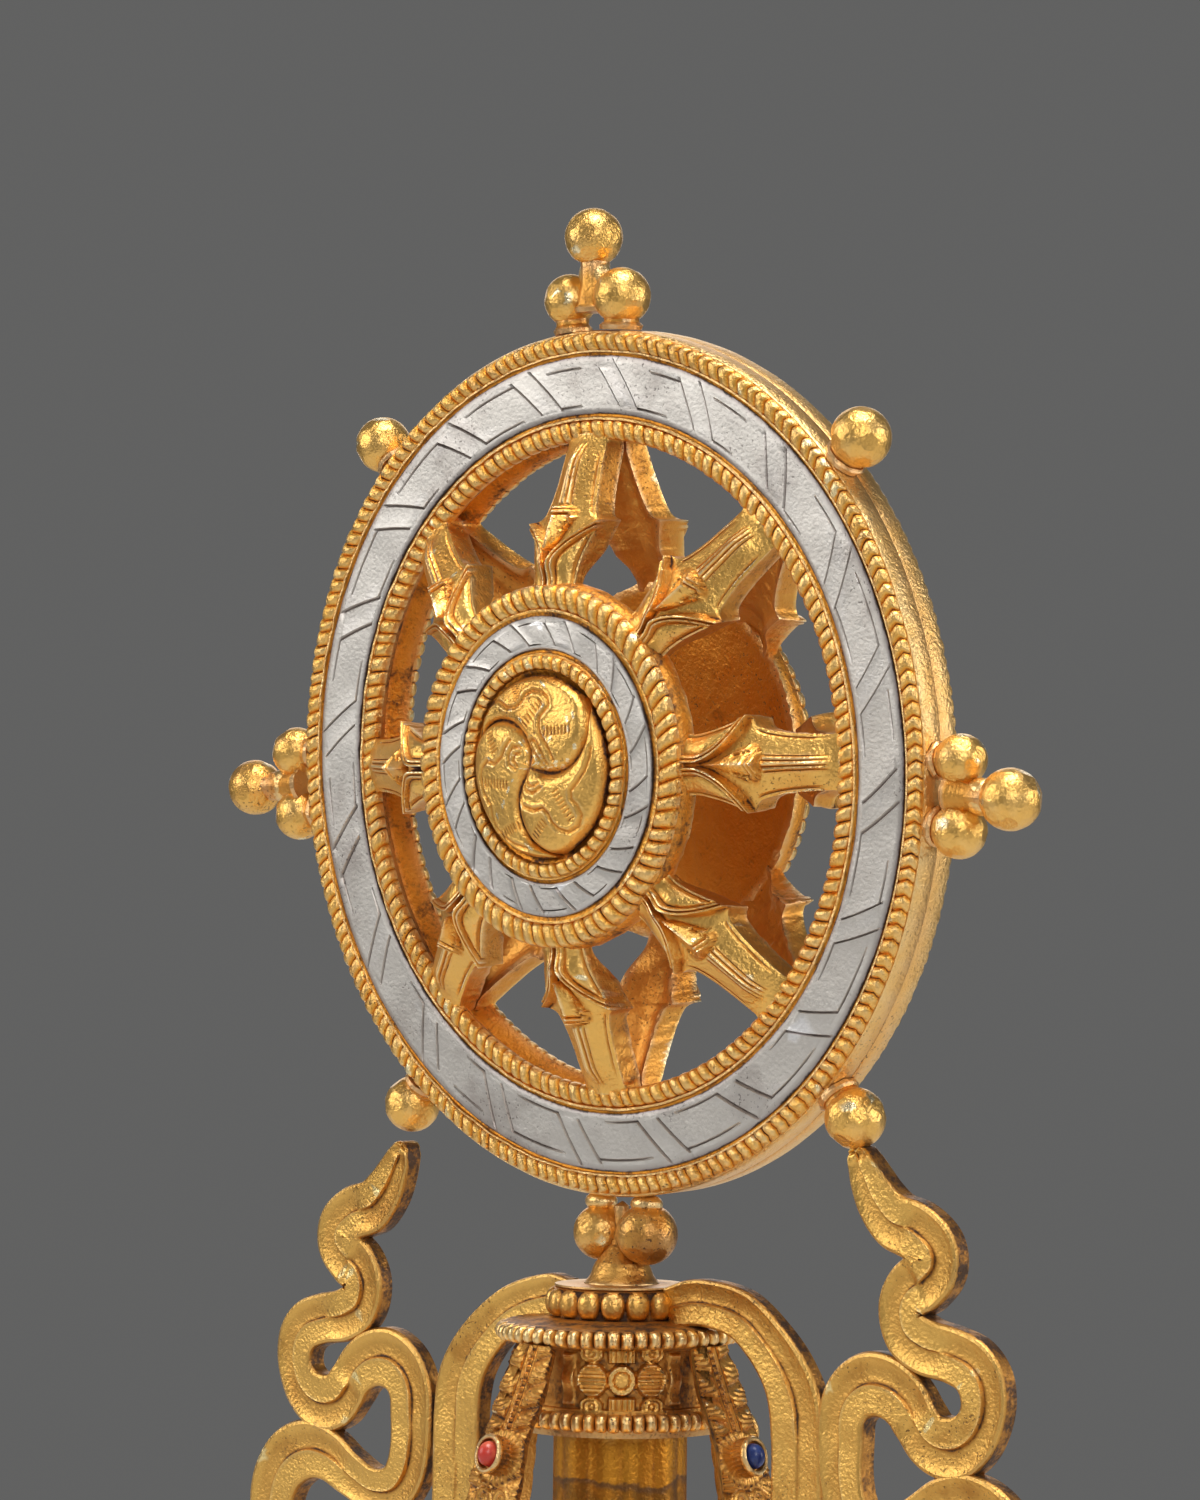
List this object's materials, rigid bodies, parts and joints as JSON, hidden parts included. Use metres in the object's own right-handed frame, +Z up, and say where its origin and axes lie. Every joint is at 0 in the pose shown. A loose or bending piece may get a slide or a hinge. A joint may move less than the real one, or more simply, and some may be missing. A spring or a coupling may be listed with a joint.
{
  "type": "dharma wheel ornament",
  "caption": "Openwork dharma wheel with silver rings and beads, on a jewelled stem with scrolling ribbons, a lotus seat and a round plinth.",
  "frame": {"origin": "centre of the plinth's underside", "axes": "+Z up, +X along the wheel's plane to the right of its front face, -Y out of its front face"},
  "size_m": [0.116, 0.084, 0.2036],
  "materials": {
    "gilt_copper": "fire-gilt copper, worn bright on the edges and brown in the hollows",
    "silver": "silver sheet with scratched strokes, slightly dulled",
    "coral": "polished coral cabochon",
    "lapis": "polished lapis cabochon"
  },
  "bodies": {
    "root": {"wheel_front": "gilt_copper", "wheel_back": "gilt_copper", "boss_front": "gilt_copper", "boss_back": "gilt_copper", "bead_upper_right": "gilt_copper", "bead_upper_left": "gilt_copper", "bead_lower_left": "gilt_copper", "bead_lower_right": "gilt_copper", "cluster_top": "gilt_copper", "cluster_right": "gilt_copper", "cluster_left": "gilt_copper", "neck": "gilt_copper", "capital": "gilt_copper", "column": "gilt_copper", "strap_front": "gilt_copper", "strap_right": "gilt_copper", "strap_back": "gilt_copper", "strap_left": "gilt_copper", "ribbon_right": "gilt_copper", "ribbon_left": "gilt_copper", "lotus_seat": "gilt_copper", "plinth": "gilt_copper", "rim_silver_front": "silver", "rim_silver_back": "silver", "hub_silver_front": "silver", "hub_silver_back": "silver", "stone_front": "coral", "stone_back": "coral", "stone_right": "lapis", "stone_left": "lapis"}
  },
  "joints": []
}
